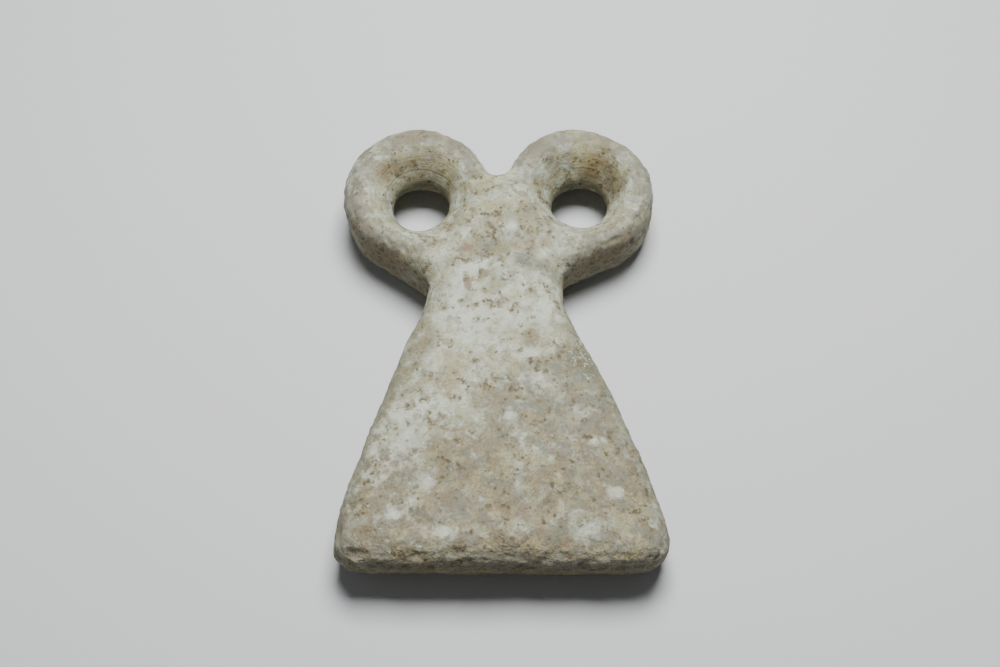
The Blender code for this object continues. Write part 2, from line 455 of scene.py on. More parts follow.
def makePatchGroup():
    tree, given, out = newGroup(
        "stonePatch",
        [("Vector", "Vector", None), ("Centre", "Vector", (0, 0, 0)), ("Size", "Vector", (5, 5, 5)),
         ("Turn", "Float", 0.0), ("Ragged", "Float", 0.0), ("Breakup", "Float", 0.6),
         ("Strength", "Float", 1.0)],
        ["Mask"],
    )
    away = onVectors(tree, "SUBTRACT", given["Vector"], given["Centre"])
    scaled = onVectors(tree, "DIVIDE", turnFlat(tree, away, given["Turn"]), given["Size"])
    edge = plus(tree, vectorLength(tree, scaled), times(tree, given["Ragged"], given["Breakup"]))
    mask = minus(tree, 1.0, between(tree, edge, *patchEdge))
    tree.links.new(times(tree, mask, given["Strength"]), out["Mask"])
    return tree


# Small irregular specks that gather in clusters, and the soft stain around each cluster. Sizes are
# shares of a speck's room; "radius" and "faintness" hold the least and what chance adds.
speckShape = {
    "wobble": {"Scale": 1.2, "Detail": 3.0, "Roughness": 0.6},
    "wobbleReach": 0.9,
    "coverReach": 0.3,
    "density": (0.52, 0.60),
    "appearing": (0.0, 0.12),
    "radius": (0.3, 0.4),
    "edge": (1.2, 0.4),
    "faintness": (0.6, 0.4),
}


def makeSpeckGroup():
    tree, given, out = newGroup(
        "stoneSpecks",
        [("Vector", "Vector", None), ("Across", "Float", 0.9), ("Cluster Across", "Float", 6.0),
         ("Cover", "Float", 0.5)],
        ["Specks", "Stain"],
    )
    cells = scaleVector(tree, given["Vector"], calculate(tree, "DIVIDE", 1.0, given["Across"]))
    wobble = addNode(tree, "TexNoise", {"Vector": cells, **speckShape["wobble"]}).outputs["Color"]
    wobble = onVectors(tree, "SUBTRACT", wobble, (0.5, 0.5, 0.5))
    wobble = scaleVector(tree, wobble, speckShape["wobbleReach"])
    warped = onVectors(tree, "ADD", cells, wobble)
    nearest = addNode(tree, "TexVoronoi", {"Vector": warped, "Scale": 1.0}, feature="F1").outputs
    lot = addNode(tree, "SeparateColor", {0: nearest["Color"]}).outputs
    clusters = noiseValue(tree, given["Vector"], given["Cluster Across"], 3.0, 0.5)
    cover = times(tree, minus(tree, given["Cover"], 0.5), speckShape["coverReach"])
    density = between(tree, plus(tree, clusters, cover), *speckShape["density"])
    present = between(tree, minus(tree, density, lot[0]), *speckShape["appearing"])
    least, chance = speckShape["radius"]
    radius = plus(tree, times(tree, lot[1], chance), least)
    dot = between(tree, calculate(tree, "DIVIDE", nearest["Distance"], radius), *speckShape["edge"])
    least, chance = speckShape["faintness"]
    faint = plus(tree, times(tree, lot[2], chance), least)
    tree.links.new(times(tree, times(tree, dot, present), faint), out["Specks"])
    tree.links.new(density, out["Stain"])
    return tree


# Rings left by the drill: fine lines round an eye's axis, and where the funnel is
drillShape = {
    "wander": {"across": 9.0, "detail": 1.0, "reach": 1.6},
    "linesPerMm": 2.2,
    "linesUp": 1.6,
    "detail": 2.0,
    "roughness": 0.5,
    "funnelEdge": (0.8, 1.05),
}


def makeDrillGroup():
    tree, given, out = newGroup(
        "drillLines",
        [("Vector", "Vector", None), ("Axis", "Vector", (0, 0, 0)), ("Reach", "Float", 12.0)],
        ["Lines", "Funnel"],
    )
    away = onVectors(tree, "SUBTRACT", given["Vector"], given["Axis"])
    upward = addNode(tree, "SeparateXYZ", {0: away}).outputs["Z"]
    radius = vectorLength(tree, onVectors(tree, "MULTIPLY", away, (1, 1, 0)))
    kind = drillShape["wander"]
    wander = noiseValue(tree, given["Vector"], kind["across"], kind["detail"])
    across = times(tree, plus(tree, radius, times(tree, wander, kind["reach"])), drillShape["linesPerMm"])
    upward = times(tree, upward, drillShape["linesUp"])
    lined = addNode(tree, "CombineXYZ", {0: across, 1: upward, 2: wander}).outputs[0]
    lines = noiseValue(tree, lined, 1.0, drillShape["detail"], drillShape["roughness"])
    reached = calculate(tree, "DIVIDE", radius, given["Reach"])
    tree.links.new(lines, out["Lines"])
    tree.links.new(minus(tree, 1.0, between(tree, reached, *drillShape["funnelEdge"])), out["Funnel"])
    return tree


# Fine straight scratches, all running one way
scratchShape = {"stretch": (0.32, 2.8, 0.5), "detail": 2.0, "coverReach": 0.12, "levels": (0.68, 0.74)}


def makeScratchGroup():
    tree, given, out = newGroup(
        "stoneScratches",
        [("Vector", "Vector", None), ("Turn", "Float", 0.0), ("Cover", "Float", 0.5)],
        ["Mask"],
    )
    turned = turnFlat(tree, given["Vector"], given["Turn"])
    stretched = onVectors(tree, "MULTIPLY", turned, scratchShape["stretch"])
    lines = noiseValue(tree, stretched, 1.0, scratchShape["detail"], 0.5)
    level = plus(tree, lines, times(tree, given["Cover"], scratchShape["coverReach"]))
    tree.links.new(between(tree, level, *scratchShape["levels"]), out["Mask"])
    return tree


stoneColours = {
    "white": (0.50, 0.54, 0.445, 1),
    "cream": (0.38, 0.395, 0.28, 1),
    "grey": (0.165, 0.168, 0.122, 1),
    "straw": (0.33, 0.305, 0.16, 1),
    "tan": (0.20, 0.163, 0.088, 1),
    # Grey-brown for soil and painted shade on the raised rims and along the base end's edge
    "rim": (0.185, 0.175, 0.13, 1),
    "rose": (0.22, 0.162, 0.108, 1),
    "brown": (0.085, 0.069, 0.037, 1),
    "ochre": (0.19, 0.125, 0.045, 1),
    "moss": (0.165, 0.165, 0.10, 1),
    # Near-black: painted shade on the ring undersides and at the base end, places that also count as
    # soiled
    "dirtAndShade": (0.05, 0.042, 0.031, 1),
}

# The stone's own variation, each layer over the one before: how wide its clouds are, how much of
# the surface they cover (a low and a high level), and how strong they get on the body's upper part
# and on its lower part. The named places lie between the clouds and the finer mottling.
stoneClouds = {
    "whiteClouds": {"colour": "white", "across": 9.0, "levels": (0.45, 0.53), "upper": 0.85, "lower": 0.5},
    "strawClouds": {"colour": "straw", "across": 6.0, "levels": (0.49, 0.56), "upper": 0.6, "lower": 0.75},
    "roseClouds": {"colour": "rose", "across": 7.0, "levels": (0.50, 0.58), "upper": 0.0, "lower": 0.6},
    "greyVeils": {"colour": "grey", "across": 12.0, "levels": (0.50, 0.58), "upper": 0.25, "lower": 0.6},
    "paleMottle": {"colour": "white", "across": 3.6, "levels": (0.53, 0.60), "upper": 0.7, "lower": 0.65},
}
stoneMottles = {
    "tanMottle": {"colour": "tan", "across": 4.2, "levels": (0.51, 0.58), "upper": 0.22, "lower": 0.85},
    "strawMottle": {"colour": "straw", "across": 3.0, "levels": (0.50, 0.58), "upper": 0.4, "lower": 0.5},
    "greyMottle": {"colour": "grey", "across": 3.2, "levels": (0.52, 0.59), "upper": 0.2, "lower": 0.75},
    "roseMottle": {"colour": "rose", "across": 2.2, "levels": (0.53, 0.60), "upper": 0.05, "lower": 0.45},
    "brownSpots": {"colour": "brown", "across": 1.6, "levels": (0.58, 0.65), "upper": 0.3, "lower": 0.45},
    "fineSoil": {"colour": "brown", "across": 0.6, "levels": (0.47, 0.62), "upper": 0.24, "lower": 0.34},
}
layerNoise = {"detail": 4.0, "roughness": 0.55, "distortion": 0.3}
layerStep = (13.7, 7.1)
layerHeight = 3.3

stoneFinish = {
    "roughness": 0.58,
    "soiledRougher": 0.15,
    "speckRougher": 0.2,
    "specular": 0.3,
    "glow": 0.1,
    "glowDepth": 0.8,
    "glowReach": (1.0, 0.85, 0.6),
    "ragged": {"across": 2.6, "detail": 5.0, "roughness": 0.7, "strength": 4.5},
    "upperPart": (-36.0, 6.0),  # from the lower part's look to the upper part's, along the idol
    "cleanLoses": 0.85,
    # sideSoilAndShade browns the steep sides: soil, and painted shade where they turn away from the light
    "sideSoilAndShade": {"strength": 0.6, "offset": 0.85, "levels": (0.1, 1.3), "soiled": 0.7},
    "hollowDirt": {"strength": 0.6, "offset": 0.7, "levels": (0.1, 1.4), "lessAtEnd": 0.4},
    # rimSoilAndShade lays soil and painted shade on the raised edges
    "rimSoilAndShade": {"strength": 0.8, "levels": (0.3, 1.3)},
    "drillShade": {"strength": 0.15, "levels": (0.0, -0.25)},
}

# Specks, finer dots, pores cut in and pale scuffs: how wide they and their clusters are, and how
# much they cover
stoneSpecks = {
    "specks": {"Across": 1.3, "Cluster Across": 3.4, "Cover": 0.30},
    "dots": {"Across": 0.75, "Cluster Across": 2.2, "Cover": 0.32},
    "pores": {"Across": 0.75, "Cluster Across": 2.2, "Cover": 0.45},
    "scuffs": {"Across": 0.55, "Cluster Across": 1.6, "Cover": 0.0},
}
speckUse = {"onSoiled": 0.8, "coverReach": 0.5, "stain": 0.4, "specks": 0.9}
scrapeUse = {
    "scratches": 0.5, "scratchTurn": 58, "lessCover": 0.4,
    "scuffs": 0.7, "scuffReach": 0.75, "scuffShift": (41, 17, 5),
}

# The fine relief in mm: three noises, then what lies on them or is cut in
stoneRelief = {
    "grain": {"height": 0.12, "across": 0.45, "detail": 4.0, "roughness": 0.65},
    "lumps": {"height": 0.16, "across": 1.5, "detail": 3.0, "roughness": 0.6},
    "coarse": {"height": 0.5, "across": 0.9, "detail": 4.0, "roughness": 0.6, "distortion": 0.5},
    "coarseOnSides": 0.5,
    "drillLines": 0.1,
    "pores": 0.08,
    "scratches": 0.03,
}


# A mark's size is in mm and its turn in degrees; breakup says how ragged its edge is.
def mark(colour, at, size, strength, turn=0, breakup=0.75):
    return dict(colour=colour, at=at, size=size, strength=strength, turn=turn, breakup=breakup)


# Broad places, named for where they lie. Each is laid over the ones before it; "specks" only adds
# to the brown specks there, and "scratches" to the scratches and scuffs.
stoneMarks = {
    # The body
    "lowerBodyTan": mark("tan", (2, -35, 14), (27, 14, 20), 0.45),
    "lowCornerGrey": mark("grey", (-26, -45, 13), (9, 6, 14), 0.55, turn=15),
    # Painted shade: grey along the body's left edge, which turns away from the light
    "rightBodyGrey": mark("grey", (20, -25, 13), (10, 29, 14), 0.7, turn=21),
    "leftEdgeShade": mark("grey", (-20, -14, 12), (5, 28, 14), 0.35, turn=-23),
    "midBodyGrey": mark("grey", (8, -20, 15), (9, 8, 8), 0.6, turn=15),
    "upperBodyClean": mark("white", (-3, 2.5, 15), (12, 9, 8), 0.75),
    "upperRightClean": mark("white", (9, 5.5, 15), (6, 7, 8), 0.8, turn=20),
    "upperLeftClean": mark("white", (-9, 7.5, 15), (5, 5, 8), 0.7, turn=-20),
    "leftBodyClean": mark("white", (-18, -22.5, 15), (7.5, 12, 8), 0.85, turn=-30),
    "leftLowClean": mark("white", (-22.5, -31.5, 15), (3.4, 4, 8), 0.7, turn=-20),
    "centreClean": mark("white", (-4.6, -20, 15), (3.4, 3, 8), 0.6),
    "leftMidClean": mark("white", (-11, -6.5, 15), (4, 5, 8), 0.6),
    "rightMidClean": mark("white", (9.6, -12.6, 15), (3.4, 3.2, 8), 0.75),
    "rightHighClean": mark("white", (6.6, -6.6, 15), (4, 2.2, 8), 0.75),
    "rightSpotClean": mark("white", (16.5, -19.5, 15), (3.4, 2.6, 8), 0.65, turn=10),
    "lowMidClean": mark("white", (-14.6, -33.8, 15), (2.6, 3.4, 6), 0.65),
    "shoulderGrey": mark("grey", (17.5, -9, 14), (4.4, 10, 8), 1.0, turn=22, breakup=0.4),
    "shoulderMoss": mark("moss", (16.4, -7, 14), (4.0, 7, 8), 0.5, turn=22),
    "shoulderTop": mark("grey", (12.4, -8.0, 15), (4.2, 4.4, 6), 0.8, turn=20, breakup=0.4),
    "midGrey": mark("grey", (10.5, -23.6, 15), (4.4, 2.4, 6), 0.45),
    "centreRose": mark("rose", (1.4, -16.6, 15), (4.6, 2.6, 6), 0.4, turn=8),
    "midRose": mark("rose", (6.3, -21.6, 15), (3.8, 2.6, 6), 0.5),
    "leftBandTan": mark("tan", (-15, -4.3, 14), (3, 5, 7), 0.5, turn=-25),
    "leftMidTan": mark("tan", (-11.6, -27.6, 15), (4.4, 4.4, 7), 0.8, turn=8, breakup=0.4),
    "centreTan": mark("tan", (-1.8, -27.4, 15), (5.4, 2.6, 7), 0.65),
    "centreLowTan": mark("straw", (3.4, -29.4, 15), (6.4, 2.0, 7), 0.6, turn=-4),
    "greyStripe": mark("grey", (-9.7, -37.2, 15), (2.4, 5.8, 6), 0.85, breakup=0.4),
    "lowRose": mark("rose", (-2.6, -36.0, 15), (3.0, 2.2, 6), 0.9, breakup=0.4),
    "lowRoseRight": mark("rose", (2.6, -40.0, 15), (4.0, 2.8, 6), 0.75, turn=10),
    "rightLowGrey": mark("grey", (15.4, -37.2, 15), (3.2, 3.8, 7), 0.9, turn=10, breakup=0.4),
    "rightTan": mark("tan", (8.2, -33.8, 15), (5, 2.2, 7), 0.5),
    "rightLowTan": mark("tan", (21, -34, 15), (8, 12, 9), 0.5, turn=15),
    "leftLowTan": mark("tan", (-19.4, -36.0, 14), (3.8, 2.2, 7), 0.55, turn=-15),
    "leftFootTan": mark("rose", (-15.5, -43.4, 14), (3.8, 2.6, 6), 0.5),
    "rightFootTan": mark("straw", (25, -41, 14), (4.2, 7, 7), 0.6, turn=12),
    "centreFootRose": mark("rose", (2, -46.5, 14), (8, 2.4, 6), 0.6),
    "lowLeftWhite": mark("white", (-19.6, -41, 15), (3.0, 1.9, 5), 0.95, turn=15),
    "lowCentreWhite": mark("white", (-10.4, -45.0, 15), (2.2, 3.4, 5), 0.95, turn=8),
    "lowRightWhite": mark("white", (17.2, -44.4, 15), (5.4, 2.2, 5), 0.8, turn=12),
    "rightWhite": mark("white", (22.4, -36.6, 15), (2.6, 1.8, 5), 0.7),
    "rightGlint": mark("white", (19.4, -25.7, 15), (3.2, 1.3, 4), 0.95),
    "columnWhite": mark("white", (3.9, -34.2, 15), (1.5, 3.2, 5), 0.6),
    "midWhite": mark("white", (2.6, -20.2, 15), (1.8, 1.0, 5), 0.75),
    # The neck and the web
    "webTan": mark("tan", (4.6, 27.0, 16), (4, 3.0, 6), 0.45),
    "webStraw": mark("straw", (-2.4, 27.0, 16), (6, 4, 6), 0.7),
    "webClean": mark("white", (5.1, 32.2, 15), (3.2, 2.8, 6), 0.6),
    "leftNeckClean": mark("white", (-9.1, 21.7, 15), (4, 2.6, 6), 0.75, turn=20),
    "rightNeckClean": mark("white", (13.4, 19.4, 15), (4.2, 2.4, 6), 0.75, turn=-10),
    # Painted shade: grey in the neck's groove, on its slope that faces away from the light
    "neckHollowShade": mark("grey", (-1.0, 18.2, 14), (6.4, 3.4, 8), 1.0, turn=10, breakup=0.25),
    "neckRightShade": mark("grey", (6.6, 15.0, 14), (5.2, 2.8, 8), 0.9, turn=-22, breakup=0.4),
    "neckFarGrey": mark("grey", (11.4, 12.6, 14), (4.6, 2.2, 6), 0.7, turn=-40),
    "neckLeftRose": mark("rose", (-7, 17.8, 15), (3.0, 1.9, 6), 0.7),
    "neckWhite": mark("white", (-3.6, 14.0, 14), (7.4, 1.9, 8), 1.0, turn=13, breakup=0.4),
    "webWhiteStreak": mark("white", (2.6, 22.6, 15.5), (1.6, 2.8, 5), 0.95, turn=-20, breakup=0.4),
    "neckUprightRose": mark("rose", (-6.5, 10.2, 15), (0.9, 2.6, 7), 0.9, turn=10),
    "neckSmudge": mark("tan", (-3.0, 11.9, 15), (2.2, 1.5, 7), 0.85, turn=20),
    "webPatchRose": mark("rose", (-7.0, 18.2, 15), (2.6, 1.7, 7), 0.8),
    "webSoil": mark("tan", (9.8, 19.5, 15), (4.0, 2.2, 7), 0.6, turn=15),
    "upperLeftTan": mark("tan", (-15.3, -4.0, 15), (3.4, 1.6, 7), 0.7, turn=15),
    "upperRightTan": mark("tan", (6.7, -2.4, 15), (3.2, 2.4, 7), 0.6, turn=10),
    "midLeftStraw": mark("straw", (-8.7, -8.1, 15), (5, 4, 7), 0.7),
    "lowCentreStraw": mark("straw", (-2.0, -34.6, 15), (5, 5, 7), 0.7, breakup=0.5),
    "footGrey": mark("grey", (11.8, -44.9, 15), (4, 3, 7), 0.6),
    "centreFootTan": mark("tan", (1.3, -38.4, 15), (4, 3.4, 7), 0.5),
    "lowLeftRose": mark("rose", (-21.5, -46.5, 15), (5.5, 2.6, 7), 0.7, turn=5),
    "lowCentreGrey": mark("grey", (-5.3, -47.5, 15), (4, 3, 7), 0.5),
    # The left ring
    "leftFunnelGrey": mark("grey", (-17.5, 39.5, 10), (9, 5.5, 7), 0.4),
    "leftRingMauve": mark("rose", (-16.1, 41.2, 13), (6.5, 4.8, 6), 0.55, breakup=0.6),
    "leftRingRed": mark("rose", (-11.4, 41.4, 13), (2.6, 1.8, 4), 0.85, turn=-35),
    "leftRingEdge": mark("ochre", (-10.3, 37.0, 12), (1.6, 4.6, 5), 0.4),
    "leftRingMoss": mark("moss", (-21.5, 40.4, 13), (4.6, 2.2, 5), 0.8, turn=12, breakup=0.4),
    "leftRingTan": mark("tan", (-25.2, 38.4, 14), (3.8, 3.6, 5), 0.9, breakup=0.4),
    "leftRingTop": mark("tan", (-20.0, 45.8, 16), (5.2, 2.0, 5), 0.75, breakup=0.5),
    "leftRingCrown": mark("tan", (-14.0, 46.5, 15), (2.6, 1.6, 5), 0.8, breakup=0.5),
    "leftRingOuter": mark("tan", (-9.0, 44.2, 15), (4.4, 1.6, 5), 0.55, turn=35),
    "leftRimWhite": mark("white", (-30.6, 36.5, 15), (2.0, 6.0, 5), 0.65, turn=-12),
    "leftRingWhite": mark("white", (-26.8, 41.8, 15), (2.2, 1.8, 5), 0.85),
    "leftRingInner": mark("white", (-7.0, 39.0, 14), (2.2, 4.4, 5), 0.75, turn=-15),
    "leftRingNear": mark("white", (-24.0, 21.6, 15), (5.6, 1.8, 5), 0.6, turn=-35),
    "leftLipClean": mark("white", (-17.0, 21.0, 13), (6.5, 2.4, 6), 0.8, turn=-32, breakup=0.5),
    "leftUndersideRose": mark("rose", (-25, 20, 10), (13, 4.0, 8), 0.8, turn=-40),
    # Painted shade low on the left ring's underside, laid as near-black dirt
    "leftUndersideDirtAndShade": mark("dirtAndShade", (-26, 19.4, 5), (14, 4.5, 8), 0.5, turn=-40),
    # The right ring
    "rightFunnelGrey": mark("grey", (12.5, 39, 12), (5, 6, 7), 0.5, turn=20),
    "rightRingOchre": mark("ochre", (21.6, 41.2, 13), (5.6, 4.0, 6), 1.0, turn=25, breakup=0.3),
    "rightRingStraw": mark("straw", (18.4, 42.6, 13), (3.6, 2.6, 6), 0.6, breakup=0.6),
    "rightRingBrown": mark("brown", (25.0, 37.0, 12.5), (3.9, 6.2, 6), 0.85, turn=14, breakup=0.35),
    "rightRingRose": mark("rose", (22.4, 38.0, 12.5), (2.2, 3.0, 6), 0.7, turn=14, breakup=0.6),
    "rightRimWhite": mark("white", (29.4, 27.4, 15), (1.2, 1.0, 4), 1.0),
    "rightRingWhite": mark("white", (24.6, 22.6, 15), (4.6, 1.7, 5), 0.8, turn=30),
    "rightRingSide": mark("straw", (30.0, 34.0, 14), (1.8, 4.0, 5), 0.5),
    "rightTopWhite": mark("white", (12.6, 45.0, 15.5), (3.2, 1.1, 5), 0.7, turn=12),
    "rightTopStraw": mark("straw", (20, 45.6, 15.5), (6, 2.2, 5), 0.8),
    "rightTopGrey": mark("grey", (9.5, 43.5, 15), (4.4, 4.4, 7), 0.75, breakup=0.5),
    "rightInnerGrey": mark("grey", (8.8, 36, 15), (3.2, 5.5, 7), 0.5),
    "rightUndersideRose": mark("rose", (23, 18.5, 10), (12, 4.0, 8), 0.8, turn=36),
    # Painted shade low on the right ring's underside, laid as near-black dirt
    "rightUndersideDirtAndShade": mark("dirtAndShade", (25, 18.0, 5), (14, 4.5, 8), 0.5, turn=36),
    # The base end: soil and painted shade darken its rounded front edge and the end face below it; a fresh
    # chip shows white
    "baseEdgeSoilAndShade": mark("rim", (0, -50.8, 10), (42, 5.2, 12), 0.9),
    "baseEdgeGreyShade": mark("grey", (0, -49.8, 14), (42, 2.8, 5), 0.6, breakup=0.5),
    "baseEdgeDarkShade": mark("rim", (0, -51.6, 8), (42, 4.0, 8), 0.6),
    "baseEndDirtAndShade": mark("dirtAndShade", (0, -52, 3), (42, 5, 10), 0.85),
    "cornerChipWhite": mark("white", (31.8, -45.4, 12.5), (1.2, 3.2, 3), 1.0, turn=-12),
    # Scraped places
    "shoulderScratches": mark("scratches", (17.0, -7.0, 14), (3.4, 10, 8), 1.0, turn=24),
    "neckScratches": mark("scratches", (9.0, 11.8, 15), (6, 3.2, 8), 0.9, turn=-38),
    "leftFootScratches": mark("scratches", (-19, -44, 15), (8, 3, 8), 0.5),
    # More specks
    "webSpecks": mark("specks", (-1, 25, 16), (15, 9, 9), 0.35),
    "upperBodySpecks": mark("specks", (0, 3, 15), (10, 6, 9), 0.2),
    "leftShoulderCluster": mark("specks", (-9.7, 4.1, 15), (1.6, 1.2, 8), 0.9, turn=-45),
    "neckCluster": mark("specks", (-5.0, 4.3, 15), (2.1, 2.0, 8), 0.9, turn=-5),
    "neckRightCluster": mark("specks", (0.3, 5.7, 15), (2.6, 1.6, 8), 0.9, turn=35),
    "edgeCluster": mark("specks", (-15.9, -4.3, 15), (1.6, 1.2, 8), 0.9, turn=-15),
    "rightTopCluster": mark("specks", (6.7, -2.2, 15), (2.1, 2.0, 8), 0.9, turn=25),
    "midLeftCluster": mark("specks", (-17.7, -18.0, 15), (2.6, 1.6, 8), 0.9, turn=-25),
    "centreCluster": mark("specks", (-4.9, -8.1, 15), (1.6, 1.2, 8), 0.9, turn=15),
    "centreLowCluster": mark("specks", (-2.5, -13.3, 15), (2.1, 2.0, 8), 0.9, turn=-35),
    "rightCluster": mark("specks", (7.8, -8.4, 15), (2.6, 1.6, 8), 0.9, turn=5),
    "rightMidCluster": mark("specks", (2.6, -11.3, 15), (1.6, 1.2, 8), 0.9, turn=-45),
    "lowLeftCluster": mark("specks", (-18.0, -29.8, 15), (2.1, 2.0, 8), 0.9, turn=-5),
    "lowMidCluster": mark("specks", (-8.5, -26.0, 15), (2.6, 1.6, 8), 0.9, turn=35),
    "lowRightCluster": mark("specks", (5.6, -28.5, 15), (1.6, 1.2, 8), 0.9, turn=-15),
    "webLeftCluster": mark("specks", (-5.0, 32.0, 15), (2.1, 2.0, 8), 0.9, turn=25),
    "webCluster": mark("specks", (-0.1, 26.2, 15), (2.6, 1.6, 8), 0.9, turn=-25),
    "webRightCluster": mark("specks", (5.0, 22.7, 15), (1.6, 1.2, 8), 0.9, turn=15),
    "ringLeftCluster": mark("specks", (-14.4, 19.7, 15), (2.1, 2.0, 8), 0.9, turn=-35),
    "neckUpCluster": mark("specks", (-6.3, 11.2, 15), (2.6, 1.6, 8), 0.9, turn=5),
    "neckMidCluster": mark("specks", (-5.0, 8.1, 15), (1.6, 1.2, 8), 0.9, turn=-45),
    "shoulderEdgeCluster": mark("specks", (9.2, 6.2, 15), (2.1, 2.0, 8), 0.9, turn=-5),
    "rightRingLowSpecks": mark("specks", (25.9, 20.8, 12), (4.2, 2.9, 7), 1.0, turn=40, breakup=0.3),
    "rightRingNearSpecks": mark("specks", (21.1, 17.6, 12), (5.2, 2.6, 7), 1.0, turn=30, breakup=0.3),
    "leftRingNearSpecks": mark("specks", (-25.2, 20.0, 11), (5.2, 2.9, 7), 1.0, turn=-35, breakup=0.3),
    "leftRingSideSpecks": mark("specks", (-30.9, 25.6, 12), (2.3, 4.7, 7), 1.0, turn=-15, breakup=0.3),
    "leftRingFarSpecks": mark("specks", (-23.1, 40.2, 14), (3.4, 3.4, 7), 0.9, breakup=0.3),
    "leftRingTopSpecks": mark("specks", (-20.5, 47.3, 14), (3.1, 1.8, 7), 0.9, breakup=0.3),
    "rightRingTopSpecks": mark("specks", (22.2, 44.2, 14), (3.1, 2.3, 7), 0.7, breakup=0.3),
    "leftRingCrownSpecks": mark("specks", (-16.1, 46.3, 14), (2.8, 1.6, 7), 0.9, breakup=0.3),
    "leftRingOuterSpecks": mark("specks", (-10.4, 45.2, 14), (3.0, 1.6, 7), 0.9, turn=35, breakup=0.3),
    "leftRingBandSpecks": mark("specks", (-30.2, 33.7, 14), (2.6, 4.0, 7), 0.7, turn=-10, breakup=0.3),
    "rightRingSideSpecks": mark("specks", (27.4, 22.8, 12), (1.8, 3.0, 7), 1.0, turn=30, breakup=0.3),
    "rightRingLipSpecks": mark("specks", (22.8, 21.1, 14), (3.0, 1.8, 7), 0.9, turn=20, breakup=0.3),
}

# What a mark does besides its colour: clean places keep less of the finer mottling, soiled ones
# take more specks.
markShares = {
    "white": "clean",
    "brown": "soiled",
    "dirtAndShade": "soiled",
    "ochre": "soiled",
    "moss": "soiled",
    "specks": "specks",
    "scratches": "scratches",
}


def layOver(tree, colour, over, share):
    inputs = {0: share, 6: colour, 7: stoneColours[over]}
    return addNode(tree, "Mix", inputs, data_type="RGBA").outputs[2]


def addLayers(tree, spot, colour, layers, upward, first, kept=1.0):
    for number, layer in enumerate(layers.values(), first):
        moved = onVectors(tree, "ADD", spot, (layerStep[0] * number, layerStep[1] * number, layerHeight))
        mask = between(tree, noiseValue(tree, moved, layer["across"], **layerNoise), *layer["levels"])
        strength = plus(tree, times(tree, upward, layer["upper"] - layer["lower"]), layer["lower"])
        share = times(tree, mask, times(tree, strength, kept))
        colour = layOver(tree, colour, layer["colour"], share)
    return colour


def addMarks(tree, patch, spot, ragged, colour):
    shares = {"clean": 0.0, "soiled": 0.0, "specks": 0.0, "scratches": 0.0}
    for place in stoneMarks.values():
        mask = fillGroup(tree, patch, {
            "Vector": spot, "Centre": place["at"], "Size": place["size"],
            "Turn": math.radians(-place["turn"]), "Ragged": ragged, "Breakup": place["breakup"],
            "Strength": place["strength"],
        })["Mask"]
        if place["colour"] in stoneColours:
            colour = layOver(tree, colour, place["colour"], mask)
        if place["colour"] in markShares:
            share = markShares[place["colour"]]
            shares[share] = larger(tree, shares[share], mask)
    return colour, shares


def addSpecks(tree, specks, spot, name, cover=0.0):
    kind = stoneSpecks[name]
    return fillGroup(tree, specks, {"Vector": spot, **kind, "Cover": plus(tree, cover, kind["Cover"])})


def reliefNoise(tree, spot, name):
    kind = dict(stoneRelief[name])
    height = kind.pop("height")
    return times(tree, noiseValue(tree, spot, **kind), height)


